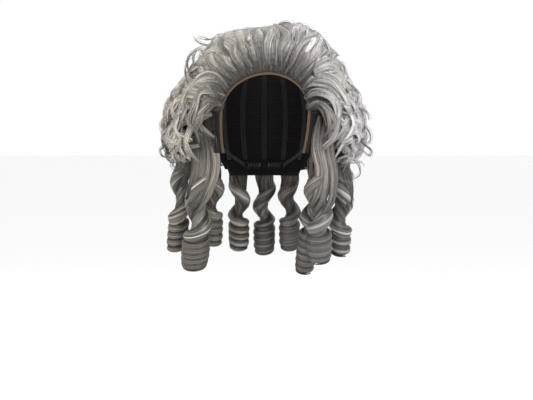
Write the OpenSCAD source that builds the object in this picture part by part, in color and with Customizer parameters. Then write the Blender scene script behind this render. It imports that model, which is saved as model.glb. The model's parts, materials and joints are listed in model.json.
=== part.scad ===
// Costume wig in a seventeenth-century style: a wefted cap with a lace front,
// a high swept-up front, full curled sides and long ringlets that hang from swinging roots.
// Millimetres. +Z is up, the face looks along -Y, and the origin is the centre of the head
// at its widest level, where the cap sits.

/* [Head] */
// Width of the head that the cap fits
head_w = 152; // [146:1:158]
// Length of the head from forehead to back
head_l = 194; // [188:1:200]
// Height of the top of the head above its widest level
crown_h = 88; // [84:1:92]

/* [Face opening] */
// Half angle of the face opening, seen from the middle of the head
face_az = 42; // [40:0.5:43]
// Height angle of the hairline at the middle of the forehead
face_el = 30; // [27:0.5:32]
// Sideways lean of the hairline at the forehead, in degrees round the head
face_lean = 4.4; // [0:0.1:4.4]

/* [Hair] */
// Space between the cap and the styled hair
hair_gap = 2.5; // [2.3:0.1:3]
// Fullness of the styled hair, as a share of the standard style
hair_full = 1; // [0.9:0.01:1.05]

/* [Ringlets] */
// Radius of the rolled weft that each ringlet hangs from
roll_r = 6; // [5:0.5:6]
// Length of that rolled weft
roll_len = 16; // [12:1:16]
// Clearance round the rolled weft in the hair above it
roll_gap = 0.5; // [0.4:0.1:1]

/* [Strap adjusters] */
// Thickness of the wire plate hooks
hook_t = 0.8; // [0.6:0.1:0.9]
// Number of loops on each ladder tape
loops = 3; // [2:1:3]

/* [Hidden] */
$fn = 64;

low_h = 120;           // half height of the head below its widest level
crown_el = 46;         // where the crown net ends
styled_el = 62;        // where the crown hair ends
nape_el = -36;         // where the rear panel ends
side_el = -26;         // where the side hair ends, at the temple
ear_el = -4;           // lower edge of the side panel, over the ear
ear_back_az = 118;     // where the side panel meets the rear panel
temple_az = 52;        // front edge of the side panel, over the ear
temple_slope = 0.68;   // how fast that edge swings back with height
seam = 0.3;            // gap between neighbouring cap panels, in degrees
lace_w = 3.2;          // width of the lace strip, in degrees
band_w = [3.4, 8];     // where the velvet band behind the lace starts and ends, in degrees
bind_w = 3.2;          // width of the binding round the ear, in degrees

net_t = 0.8;           // thickness of the cap's nets
lace_t = 0.5;          // thickness of the lace
band_t = 1;            // thickness of the velvet bands
ribbon_t = 0.8;        // thickness of the elastic ribbons and straps
weft = [net_t + 0.4, 1.9];  // how far the sewn wefts start and end off the head

// Hair thickness over the head by height angle, at the front, the sides and the back
front_full = [[25, 8], [30, 10], [38, 20], [50, 23], [62, 20], [75, 16], [90, 13]];
side_full = [[-36, 16], [-26, 30], [-20, 43], [-14, 49], [-5, 46], [5, 40], [16, 29],
             [33, 26], [45, 28], [57, 29], [75, 20], [90, 13]];
back_full = [[-36, 18], [-26, 27], [-8, 33], [20, 33], [45, 31], [60, 25], [75, 18], [90, 13]];

// Heights of the sewn weft rows
weft_els = [-30, -19, -8, 5, 18, 31];

// Nape adjusters: they slide round an upright axis behind the head's centre, on a cone that
// follows the cap
nape_y = 30;
hook_r = 47.6;
hook_z = -66;
nape_slope = 0.53;     // growth of the cone's radius with height
tip_az = 186;          // inner end of the left hook's tongue
tail_az = 206;         // where its tongue widens to the strap eye
eye_az = 5;            // angular length of the eye

silver = [0.62, 0.60, 0.59];
taupe = [0.50, 0.47, 0.44];
ash = [0.56, 0.54, 0.54];
net_black = [0.10, 0.09, 0.09];
lace_tan = [0.62, 0.50, 0.36];
steel = [0.66, 0.67, 0.69];

// Each ringlet: pivot, stem radius, waist radius, cuff radius, length, lean towards -X, swing azimuth
RINGLETS = [
    ["ringlet_left_front",   [-75, -22, -60], 15, 12, 18, 129, 5, 270],
    ["ringlet_left_side",    [-99, 14, -58], 12, 12, 13, 113, 6, 270],
    ["ringlet_left_rear",    [-66, 44, -62], 11, 11, 13, 104, 0, 270],
    ["ringlet_right_front",  [67, -47, -60], 13, 12, 15, 119, 0, 90],
    ["ringlet_right_inner",  [66, -14, -62], 10, 10, 12.5, 134, 7, 90],
    ["ringlet_right_side",   [96, 16, -60], 12, 13, 13.5, 116, 0, 90],
    ["ringlet_right_rear",   [66, 46, -62], 11, 11, 13, 104, 0, 90],
    ["ringlet_back_left",    [-33, 77, -78], 11, 11, 13.5, 96, 0, 180],
    ["ringlet_back_middle",  [0, 86, -78], 11, 11, 14, 102, 0, 180],
    ["ringlet_back_right",   [33, 77, -78], 11, 11, 13.5, 96, 0, 180]
];

function mix(a, b, t) = a + (b - a) * t;
function wave(t) = (1 - cos(180 * t)) / 2;
function clamp(x) = max(0, min(1, x));

// A point off the head: azimuth 0 is the face and 90 is +X, el is the height angle
function on_head(az, el, off) = [
    (head_w / 2 + off) * sin(az) * cos(el),
    -(head_l / 2 + off) * cos(az) * cos(el),
    ((el > 0 ? crown_h : low_h) + off) * sin(el)
];

// The hairline: an arch over the forehead, grown outwards by k degrees
function lean_at(el) = face_lean * (el + 15) / (face_el + 15);
function arch(t, k) = let (el = (face_el + k) * sin(t)) [lean_at(el) - (face_az + k) * cos(t), el];

// The arch with straight legs in front of the ears, from left to right as u goes from 0 to 1
leg = 0.2;
leg_el = -24;
function rim(u, k) =
    u < leg ? let (el = leg_el * (1 - u / leg)) [lean_at(el) - face_az - k, el]
    : u > 1 - leg ? let (el = leg_el * (1 - (1 - u) / leg)) [lean_at(el) + face_az + k, el]
    : arch(180 * (u - leg) / (1 - 2 * leg), k);

// Styled hair stands off the head by this much; it thins towards the face
hair_lean = 5;         // the dressed hair leans to the wearer's left by this much at the top
function near_face(az, el) =
    let (open = min(1, 0.3 + max(0, abs(az) - 44) / 34)) mix(open, 1, clamp(el / 30));
function fullness(az, el) =
    let (side = pow(sin(az), 2), ends = cos(az) > 0 ? front_full : back_full)
    hair_full * near_face(az, el) * (side * lookup(el, side_full) + (1 - side) * lookup(el, ends))
    + hair_lean * sin(az) * clamp(el / 45) * clamp((90 - el) / 20);

function two(a, b, c, d) = [[a, b, c], [a, c, d]];
function flat(lists) = [for (l = lists, x = l) x];

// A closed shell over the head between offsets lo(u, v) and hi(u, v). patch(u, v) gives
// [azimuth, height angle], with azimuth growing with u and height with v.
module shell(patch, lo, hi, nu, nv) {
    across = nu + 1;
    layer = across * (nv + 1);
    points = [for (s = [0, 1], j = [0:nv], i = [0:nu])
        let (u = i / nu, v = j / nv, a = patch(u, v)) on_head(a[0], a[1], s == 0 ? lo(u, v) : hi(u, v))];
    function n(j, i) = j * across + i;
    function o(j, i) = layer + n(j, i);
    faces = flat([
        for (j = [0:nv - 1], i = [0:nu - 1]) each [
            two(o(j, i), o(j + 1, i), o(j + 1, i + 1), o(j, i + 1)),
            two(n(j, i), n(j, i + 1), n(j + 1, i + 1), n(j + 1, i))],
        for (i = [0:nu - 1]) each [
            two(o(0, i), o(0, i + 1), n(0, i + 1), n(0, i)),
            two(o(nv, i + 1), o(nv, i), n(nv, i), n(nv, i + 1))],
        for (j = [0:nv - 1]) each [
            two(o(j + 1, 0), o(j, 0), n(j, 0), n(j + 1, 0)),
            two(o(j, nu), o(j + 1, nu), n(j + 1, nu), n(j, nu))]
    ]);
    polyhedron(points, faces);
}

// A closed dome over the top of the head, from height angle el0 up to the crown
module dome(el0, lo, hi, nu, nv) {
    layer = nu * nv + 1;
    points = [for (s = [0, 1]) each [
        for (j = [0:nv - 1], i = [0:nu - 1])
            let (az = 360 * i / nu, el = mix(el0, 90, j / nv))
                on_head(az, el, s == 0 ? lo(az, el) : hi(az, el)),
        on_head(0, 90, s == 0 ? lo(0, 90) : hi(0, 90))]];
    function n(j, i) = j * nu + i % nu;
    function o(j, i) = layer + n(j, i);
    faces = concat(
        flat([
            for (j = [0:nv - 2], i = [0:nu - 1]) each [
                two(o(j, i), o(j + 1, i), o(j + 1, i + 1), o(j, i + 1)),
                two(n(j, i), n(j, i + 1), n(j + 1, i + 1), n(j + 1, i))],
            for (i = [0:nu - 1]) two(o(0, i), o(0, i + 1), n(0, i + 1), n(0, i))]),
        [for (i = [0:nu - 1]) each [
            [o(nv - 1, i), 2 * layer - 1, o(nv - 1, i + 1)],
            [n(nv - 1, i), n(nv - 1, i + 1), layer - 1]]]);
    polyhedron(points, faces);
}

// An even sheet between two offsets
module sheet(patch, lo, hi, nu, nv) {
    shell(patch, function(u, v) lo, function(u, v) hi, nu, nv);
}

module on_left() {
    mirror([1, 0, 0]) children();
}

// ---- Cap ----

module crown_net() {
    color(net_black) dome(crown_el, function(az, el) 0, function(az, el) net_t, 36, 6);
}

module front_net() {
    patch = function(u, v) mix(arch(180 * u, band_w[1] + seam), [mix(-82, 82, u), crown_el - seam], v);
    color(net_black) sheet(patch, 0, net_t, 22, 3);
}

module side_panel() {
    patch = function(u, v) let (el = mix(ear_el + seam, crown_el - seam, v))
        [mix(temple_az + max(0, el) * temple_slope, ear_back_az - seam, u), el];
    color(net_black) sheet(patch, 0, net_t, 9, 6);
}

function rear_edge(el) = ear_back_az + max(0, -el) * 0.35;

module rear_panel() {
    patch = function(u, v)
        let (el = mix(nape_el, crown_el - seam, v), a = rear_edge(el)) [mix(a, 360 - a, u), el];
    color(net_black) sheet(patch, 0, net_t, 18, 9);
}

module front_lace() {
    color(lace_tan) sheet(function(u, v) rim(u, mix(0, lace_w, v)), 0, lace_t, 40, 1);
}

module front_band() {
    color(net_black) sheet(function(u, v) rim(u, mix(band_w[0], band_w[1], v)), 0, band_t, 40, 1);
}

// Elastic binding over the ear and down behind it to the nape
module ear_binding() {
    corner = 0.6;      // share of the binding's length that lies over the ear
    front_az = 66;
    corner_az = ear_back_az - 4;
    foot_az = rear_edge(nape_el) - 4;
    out = 3.6;         // how much further back the binding's outer edge lies
    patch = function(u, v)
        let (el = mix(ear_el - bind_w, ear_el, v), turn = corner_az + out * v)
        u < corner
            ? [mix(front_az, turn, u / corner), el]
            : let (t = (u - corner) / (1 - corner)) [mix(turn, foot_az + out * v, t), mix(el, nape_el, t)];
    color(net_black) sheet(patch, 0, band_t, 15, 1);
}

module nape_band() {
    drop = 5;          // height of the band, in degrees
    patch = function(u, v) [mix(131, 229, u), mix(nape_el - drop, nape_el - seam, v)];
    color(net_black) sheet(patch, -0.2, band_t + 0.2, 16, 1);
}

ribbon_foot = -29.5;   // the ribbons end above the ladder tapes
ribbon_top = 45;       // and just under the crown net's edge
ribbon_half = 2.6;     // half width of a ribbon, in degrees
ribbon_in = -1.6;      // how far the ribbons lie inside the cap

module elastic_ribbons() {
    for (az = [136:22:224])
        color(net_black) sheet(
            function(u, v) [az + mix(-ribbon_half, ribbon_half, u), mix(ribbon_foot, ribbon_top, v)],
            ribbon_in, ribbon_in + ribbon_t, 1, 10);
}

weft_half = 0.8;       // half height of a weft row, in degrees

module weft_row(el) {
    start = el >= 0 ? temple_az + 8 + el * temple_slope : rear_edge(el) + 4;
    pieces = el >= 0 ? 30 : 18;
    patch = function(u, v) [mix(start, 360 - start, u), el + mix(-weft_half, weft_half, v)];
    color(taupe) sheet(patch, weft[0], weft[1], pieces, 1);
}

// The tab in front of the ear hangs from the side panel and bends in to grip the temple
tab_el = -24;
tab_top = -4.2;

module ear_tab() {
    patch = function(u, v) [mix(temple_az, mix(60, 65, v), u), mix(tab_el, tab_top, v)];
    color(net_black) sheet(patch, 0, net_t, 3, 4);
}

module ear_stay() {
    patch = function(u, v) [mix(56.4, 58.4, u), mix(tab_el + 2, tab_top - 1.5, v)];
    color(steel) sheet(patch, net_t + 0.2, net_t + 0.9, 1, 4);
}

// ---- Strap adjusters at the nape ----

// Turns an outline of outward distance and height, seen from the hook, round the nape's axis
// from azimuth a0 over the angle a
module nape_arc(a0, a) {
    translate([0, nape_y, hook_z])
        rotate_extrude(angle = a, start = a0 - 90) translate([hook_r, 0]) children();
}

// A strip that leans with the nape, from r0 to r1 outwards and from z0 to z1 in height
module slab(r0, r1, z0, z1) {
    polygon([for (c = [[r0, z0], [r1, z0], [r1, z1], [r0, z1]]) [c[0] + nape_slope * c[1], c[1]]]);
}

tape_out = 1.2;        // how far the ladder's tape lies outside the hook
loop_az = 1.6;
loop_step = 4;

module hook_ladder() {
    color(net_black) {
        nape_arc(tip_az, 20) slab(tape_out, tape_out + 0.6, -5, 4.5);
        for (k = [0:loops - 1])
            nape_arc(tip_az + loop_step * (k + 1) - loop_az / 2, loop_az) difference() {
                slab(-1.6, tape_out + 0.3, -3.8, 3.8);
                slab(-1, tape_out - 0.1, -3, 3);
            }
    }
}

// A spring-steel tongue with an eye for the strap at its outer end
module strap_hook() {
    half = hook_t / 2;
    eye = [3.2, 4.2];
    color(steel) union() {
        nape_arc(tip_az, tail_az - tip_az + 0.5) slab(-half, half, -2.4, 2.4);
        nape_arc(tail_az, eye_az) slab(-half, half, eye[0], eye[1]);
        nape_arc(tail_az, eye_az) slab(-half, half, -eye[1], -eye[0]);
        for (a = [tail_az, tail_az + eye_az - 1]) nape_arc(a, 1) slab(-half, half, -eye[1], eye[1]);
    }
}

// Elastic strap from the hook's eye up to its stitching behind the ear
module adjust_strap() {
    patch = function(u, v) [mix(204.8, 237, u), mix(-34.3, -20, u) + mix(-1.5, 1.5, v)];
    lo = function(u, v) mix(-3.5, -3, u);
    hi = function(u, v) lo(u, v) + ribbon_t;
    color(net_black) shell(patch, lo, hi, 10, 1);
}

// ---- Styled hair ----

module pompadour_hair() {
    patch = function(u, v) mix(arch(180 * u, 1.2), [mix(-78, 78, u), styled_el], v);
    hi = function(u, v) let (a = patch(u, v)) fullness(a[0], a[1]);
    color(silver) shell(patch, function(u, v) hair_gap, hi, 28, 9);
}

module crown_hair() {
    color(silver) dome(styled_el + 0.4, function(az, el) hair_gap, function(az, el) fullness(az, el), 36, 5);
}

// side is 1 for +X and -1 for -X
module side_hair(side) {
    patch = function(u, v)
        let (back = side > 0 ? u : 1 - u, el = mix(side_el - 10 * back, styled_el, v))
        [side * mix(45 + max(0, el) * 0.5645, 127.7, back), el];
    hi = function(u, v) let (a = patch(u, v)) fullness(a[0], a[1]);
    color(silver) shell(patch, function(u, v) hair_gap, hi, 14, 16);
}

module back_hair() {
    patch = function(u, v) [mix(128, 232, u), mix(nape_el, styled_el, v)];
    hi = function(u, v) let (a = patch(u, v)) fullness(a[0], a[1]);
    color(silver) shell(patch, function(u, v) hair_gap, hi, 16, 16);
}

// ---- Ringlets ----

// The shoulder's edge lifts above the root's middle by less than this when a ringlet swings out
shoulder_rise = 1.5;

// The room that a ringlet's rolled root and its shoulder need in the hair above
module swing_room(r) {
    reach = r[2] + 9;
    wide = 2 * r[2] + 3;
    translate(r[1]) rotate([0, 0, r[7]]) rotate([90, 0, 90]) {
        translate([0, 0, -roll_len / 2 - roll_gap])
            cylinder(r = roll_r + roll_gap, h = roll_len + 2 * roll_gap);
        translate([0, 0, -wide / 2]) intersection() {
            cylinder(r = reach, h = wide);
            translate([-reach, -reach, 0]) cube([2 * reach, reach + shoulder_rise, wide]);
        }
    }
}

module with_swing_room() {
    difference() {
        children();
        for (r = RINGLETS) swing_room(r);
    }
}

// Shares of a ringlet's length at which its shoulder ends, its waist lies, its cuff starts
// and the cuff rounds in
shoulder = 0.12;
waist = 0.5;
cuff = 0.66;
foot = 0.92;

// Radius of a ringlet at the share s of its length
function ringlet_r(r, s) =
    s < shoulder ? mix(roll_r * 0.8, r[2], wave(s / shoulder))
    : s < waist ? mix(r[2], r[3], wave((s - shoulder) / (waist - shoulder)))
    : s < cuff ? mix(r[3], r[4], wave((s - waist) / (cuff - waist)))
    : s < foot ? r[4]
    : r[4] * sqrt(max(0, 1 - 0.7 * pow((s - foot) / (1 - foot), 2)));

module ringlet(r) {
    steps = [0.02, 0.05, 0.08, shoulder, 0.2, 0.3, 0.4, waist, 0.55, 0.61, cuff, foot, 0.95, 0.98, 1];
    outline = [[0, 0], [ringlet_r(r, 0), 0], for (s = steps) [ringlet_r(r, s), -s * r[5]], [0, -r[5]]];
    color(r[0] == "ringlet_left_side" || r[0] == "ringlet_right_side" ? ash : taupe) translate(r[1]) {
        rotate([0, 0, r[7]]) rotate([90, 0, 90]) cylinder(r = roll_r, h = roll_len, center = true);
        rotate([0, r[6], 0]) rotate_extrude() polygon(outline);
    }
}

crown_net();
front_net();
on_left() side_panel();  // side_panel_left
side_panel();  // side_panel_right
rear_panel();
front_lace();
front_band();
on_left() ear_binding();  // ear_binding_left
ear_binding();  // ear_binding_right
nape_band();
elastic_ribbons();
for (k = [1:len(weft_els)]) weft_row(weft_els[k - 1]);
on_left() ear_tab();  // ear_tab_left
ear_tab();  // ear_tab_right
on_left() ear_stay();  // ear_stay_left
ear_stay();  // ear_stay_right
hook_ladder();  // hook_ladder_left
on_left() hook_ladder();  // hook_ladder_right
strap_hook();  // strap_hook_left
on_left() strap_hook();  // strap_hook_right
adjust_strap();  // adjust_strap_left
on_left() adjust_strap();  // adjust_strap_right
pompadour_hair();  // hair_pompadour
crown_hair();  // hair_crown
with_swing_room() side_hair(-1);  // hair_side_left
with_swing_room() side_hair(1);  // hair_side_right
with_swing_room() back_hair();  // hair_back
for (r = RINGLETS) ringlet(r);
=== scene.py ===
"""Looks of the costume wig: combed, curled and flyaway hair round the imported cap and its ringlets."""

import json
import math

import bmesh
import bpy
import numpy as np
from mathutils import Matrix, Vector
from mathutils.bvhtree import BVHTree


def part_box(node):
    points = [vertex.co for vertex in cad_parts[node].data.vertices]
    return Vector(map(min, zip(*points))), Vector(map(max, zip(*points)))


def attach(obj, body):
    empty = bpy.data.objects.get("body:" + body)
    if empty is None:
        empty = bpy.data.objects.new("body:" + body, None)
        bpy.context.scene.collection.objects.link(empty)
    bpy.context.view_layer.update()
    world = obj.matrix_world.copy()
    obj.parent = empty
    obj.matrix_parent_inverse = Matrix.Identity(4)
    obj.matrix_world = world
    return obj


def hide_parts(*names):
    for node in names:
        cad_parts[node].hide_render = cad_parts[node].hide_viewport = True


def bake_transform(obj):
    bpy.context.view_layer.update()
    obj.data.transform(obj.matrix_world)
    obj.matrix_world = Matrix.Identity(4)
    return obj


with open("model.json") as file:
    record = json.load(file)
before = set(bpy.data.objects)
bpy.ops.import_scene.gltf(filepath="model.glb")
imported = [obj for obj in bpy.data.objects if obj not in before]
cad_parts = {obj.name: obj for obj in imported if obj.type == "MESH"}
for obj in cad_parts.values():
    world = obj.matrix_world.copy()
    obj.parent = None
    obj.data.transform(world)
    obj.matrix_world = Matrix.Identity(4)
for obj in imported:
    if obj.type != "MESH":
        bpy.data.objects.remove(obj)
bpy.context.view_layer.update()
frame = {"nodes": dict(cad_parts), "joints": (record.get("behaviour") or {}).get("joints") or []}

MM = 0.001
rng = np.random.default_rng(1680)

# ---- small maths


def unit(v):
    return v / np.maximum(np.linalg.norm(v, axis=-1, keepdims=True), 1e-12)


def smooth(a, b, x):
    t = np.clip((np.asarray(x, float) - a) / (b - a), 0, 1)
    return t * t * (3 - 2 * t)


def mix(a, b, t):
    return a + (b - a) * t


def along(s, values):
    """values spread evenly over 0 to 1, read at s."""
    return np.interp(s, np.linspace(0, 1, len(values)), values)


def heading(az, el):
    """Unit vector of a direction from the head's centre: azimuth 0 is the face and 90 is +X, in degrees."""
    az, el = np.radians(az), np.radians(el)
    return np.stack([np.sin(az) * np.cos(el), -np.cos(az) * np.cos(el), np.sin(el) * np.ones_like(az)], -1)


def angles(p):
    d = unit(p)
    return np.degrees(np.arctan2(d[..., 0], -d[..., 1])), np.degrees(np.arcsin(np.clip(d[..., 2], -1, 1)))


def spline(points, n):
    """n points on a smooth curve through the given ones, at even steps."""
    p = np.array(points, float)
    p = np.concatenate([[2 * p[0] - p[1]], p, [2 * p[-1] - p[-2]]])
    u = np.linspace(0, len(p) - 3 - 1e-9, 12 * n)
    i = u.astype(int)
    t = (u - i)[:, None]
    a, b, c, d = p[i], p[i + 1], p[i + 2], p[i + 3]
    line = 0.5 * (2 * b + (c - a) * t + (2 * a - 5 * b + 4 * c - d) * t**2 + (3 * b - a - 3 * c + d) * t**3)
    run = np.concatenate([[0], np.cumsum(np.linalg.norm(np.diff(line, axis=0), axis=1))])
    where = np.linspace(0, run[-1], n)
    return np.stack([np.interp(where, run, line[:, k]) for k in range(3)], -1)


# ---- the head and the dressed hair's shape

HALF = np.array([76, 97]) * MM  # the cap's half width and half length
CROWN, LOW = 88 * MM, 120 * MM  # its height, and its half height below the widest level


def cap_radius(d):
    c = np.where(d[..., 2] > 0, CROWN, LOW)
    return 1 / np.sqrt((d[..., 0] / HALF[0]) ** 2 + (d[..., 1] / HALF[1]) ** 2 + (d[..., 2] / c) ** 2)


def mesh_tree(names):
    verts, faces = [], []
    for n in names:
        me = frame["nodes"][n].data
        start = len(verts)
        verts += [v.co.copy() for v in me.vertices]
        faces += [[start + i for i in p.vertices] for p in me.polygons]
    return BVHTree.FromPolygons(verts, faces)


FACE_AZ = 46  # half width of the face opening, in degrees
MASSES = ["hair_pompadour", "hair_crown", "hair_side_left", "hair_side_right", "hair_back"]
STEP = 3.0
AZ = np.arange(-180, 180 + STEP, STEP)
EL = np.arange(-60, 90 + STEP, STEP)


def outer_table():
    """The dressed hair's outer radius by direction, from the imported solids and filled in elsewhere."""
    tree = mesh_tree(MASSES)
    far, near = 0.3, 0.06  # where the rays start, and the least radius that hair can have
    table = np.full((len(EL), len(AZ)), np.nan)
    for j, el in enumerate(EL):
        for i, az in enumerate(AZ):
            d = Vector(heading(np.array(az), np.array(el)))
            hit = tree.ray_cast(d * far, -d)[3]
            if hit is not None and far - hit > near:
                table[j, i] = far - hit
    for i in range(len(AZ)):
        known = np.flatnonzero(~np.isnan(table[:, i]))
        table[:, i] = np.interp(np.arange(len(EL)), known, table[known, i])
        if abs(AZ[i]) > FACE_AZ:  # below the hair's edge it hangs straight down
            low = known[0] + 1
            hang = table[low, i] * math.cos(math.radians(EL[low])) / np.cos(np.radians(EL[:low]))
            table[:low, i] = hang * (0.985 ** np.arange(low, 0, -1))
    for _ in range(2):
        wrapped = np.concatenate([table[:, -2:-1], table, table[:, 1:2]], 1)
        table = (wrapped[:, :-2] + 2 * wrapped[:, 1:-1] + wrapped[:, 2:]) / 4
        padded = np.concatenate([table[:1], table, table[-1:]], 0)
        table = (padded[:-2] + 2 * padded[1:-1] + padded[2:]) / 4
    return table


OUTER = outer_table()


def outer_radius(d):
    az, el = angles(d)
    x = np.clip((az - AZ[0]) / STEP, 0, len(AZ) - 1.001)
    y = np.clip((el - EL[0]) / STEP, 0, len(EL) - 1.001)
    i, j = x.astype(int), y.astype(int)
    u, v = x - i, y - j
    return mix(mix(OUTER[j, i], OUTER[j, i + 1], u), mix(OUTER[j + 1, i], OUTER[j + 1, i + 1], u), v)


def lay(p, share, proud=0.0):
    """Moves points along their own directions to a share of the way from the cap to the hair's outside."""
    d = unit(p)
    r0, r1 = cap_radius(d), outer_radius(d)
    return d * (mix(r0, r1, share) + proud)[..., None]


def seen_at(x, z, share):
    """The point of the dressed hair, at a share of its depth, that lies at x and z seen from in front."""
    y = np.linspace(-130, 60, 200) * MM
    p = np.stack([np.full_like(y, x), y, np.full_like(y, z)], -1)
    d = unit(p)
    gap = np.linalg.norm(p, axis=-1) - mix(cap_radius(d), outer_radius(d), share)
    inside = np.flatnonzero(gap < 0)
    return p[inside[0]] if len(inside) else p[np.argmin(gap)]


# ---- fibre and its shades

TONES = 8
SHARES = (0.022, 0.048, 0.088, 0.145, 0.22, 0.32, 0.45, 0.66)  # brightness of the eight shades


def strand_material(name, colour, rough):
    m = bpy.data.materials.new(name)
    m.use_nodes = True
    p = m.node_tree.nodes["Principled BSDF"]
    p.inputs["Base Color"].default_value = (*colour, 1)
    p.inputs["Roughness"].default_value = rough
    p.inputs["Specular IOR Level"].default_value = 0.6
    p.inputs["Sheen Weight"].default_value = 0.1
    p.inputs["Sheen Roughness"].default_value = 0.4
    return m


def tone_set(name, dark, light):
    """Eight shades of one fibre colour, from the darkest to the palest: besides the hair's own uneven tone
    they carry painted shade (roots, undersides, lock edges) and painted highlight (crests).
    """
    shades = []
    for k, share in enumerate(SHARES):
        tint = [mix(a, b, (k / (TONES - 1)) ** 0.7) for a, b in zip(dark, light)]
        shades.append(strand_material(f"{name}_{k}", [c * share for c in tint], 0.44 - 0.015 * k))
    return shades


BROWN = (1.0, 0.80, 0.64)  # the hue of the darkest shades, which paint the shade at the roots, undersides and lock edges
# Three tints of the one silver fibre: partly the fibres' own mixed tints, partly painted light, as the warm
# set goes on the left side, which is in shade, and the cool and lilac sets on the lit right side.
FIBRES = {
    "cool": tone_set("cool_fibre", BROWN, (1.0, 0.985, 0.97)),
    "warm": tone_set("warm_fibre", BROWN, (1.0, 0.955, 0.86)),
    "lilac": tone_set("lilac_fibre", BROWN, (1.0, 0.965, 0.985)),
}


def new_material(name, rough=0.5):
    m = bpy.data.materials.new(name)
    m.use_nodes = True
    p = m.node_tree.nodes["Principled BSDF"]
    p.inputs["Roughness"].default_value = rough
    p.inputs["Specular IOR Level"].default_value = 0.2
    return m, m.node_tree, p


def node(nt, kind, **values):
    n = nt.nodes.new(kind)
    for k, v in values.items():
        n.inputs[k.replace("_", " ")].default_value = v
    return n


def ramp(nt, fac, stops):
    n = nt.nodes.new("ShaderNodeValToRGB")
    while len(n.color_ramp.elements) < len(stops):
        n.color_ramp.elements.new(0.5)
    for e, (at, colour) in zip(n.color_ramp.elements, stops):
        e.position = at
        e.color = (*colour, 1)
    nt.links.new(fac, n.inputs["Fac"])
    return n.outputs["Color"]


def stretched(nt, scale):
    where = nt.nodes.new("ShaderNodeTexCoord")
    m = nt.nodes.new("ShaderNodeMapping")
    m.inputs["Scale"].default_value = scale
    nt.links.new(where.outputs["Object"], m.inputs["Vector"])
    return m.outputs["Vector"]


def bump_height(nt, p, depth):
    """The height input of a new bump node on p."""
    b = node(nt, "ShaderNodeBump", Distance=depth)
    nt.links.new(b.outputs["Normal"], p.inputs["Normal"])
    return b.inputs["Height"]


def packed_fibre(name, dark, light):
    """Packed fibre under the strands: fine streaks and slow patches of uneven tone, with a fibrous bump; its
    colours, far darker than the strands', are painted shade for hair that lies deep under the locks and
    inside the coils.
    """
    m, nt, p = new_material(name, 0.55)
    streaks = node(nt, "ShaderNodeTexNoise", Scale=1.0, Detail=3.0)
    patches = node(nt, "ShaderNodeTexNoise", Scale=1.0)
    nt.links.new(stretched(nt, (900, 900, 260)), streaks.inputs["Vector"])
    nt.links.new(stretched(nt, (60, 60, 60)), patches.inputs["Vector"])
    blend = nt.nodes.new("ShaderNodeMath")
    blend.operation = "MULTIPLY"
    nt.links.new(streaks.outputs["Fac"], blend.inputs[0])
    nt.links.new(patches.outputs["Fac"], blend.inputs[1])
    nt.links.new(ramp(nt, blend.outputs[0], [(0.1, dark), (0.5, light)]), p.inputs["Base Color"])
    nt.links.new(streaks.outputs["Fac"], bump_height(nt, p, 0.3 * MM))
    return m


# dark packed fibre: painted shade for the hair under the locks and inside the ringlets
PACKED_IN_SHADE = {
    "warm": packed_fibre("warm_packed_fibre", (0.022, 0.018, 0.013), (0.10, 0.088, 0.07)),
    "cool": packed_fibre("cool_packed_fibre", (0.022, 0.019, 0.017), (0.11, 0.10, 0.095)),
    "lilac": packed_fibre("lilac_packed_fibre", (0.022, 0.018, 0.018), (0.11, 0.10, 0.102)),
}

# ---- meshes


def make_mesh(name, verts, quads, tris, slots, materials):
    me = bpy.data.meshes.new(name)
    loops = np.concatenate([quads.reshape(-1), tris.reshape(-1)])
    starts = np.concatenate([np.arange(len(quads)) * 4, len(quads) * 4 + np.arange(len(tris)) * 3])
    me.vertices.add(len(verts))
    me.vertices.foreach_set("co", verts.astype(np.float32).ravel())
    me.loops.add(len(loops))
    me.loops.foreach_set("vertex_index", loops.astype(np.int32))
    me.polygons.add(len(starts))
    me.polygons.foreach_set("loop_start", starts.astype(np.int32))
    me.polygons.foreach_set("use_smooth", np.ones(len(starts), bool))
    for m in materials:
        me.materials.append(m)
    me.polygons.foreach_set("material_index", slots.astype(np.int32))
    me.update(calc_edges=True)
    ob = bpy.data.objects.new(name, me)
    bpy.context.scene.collection.objects.link(ob)
    return ob


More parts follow.
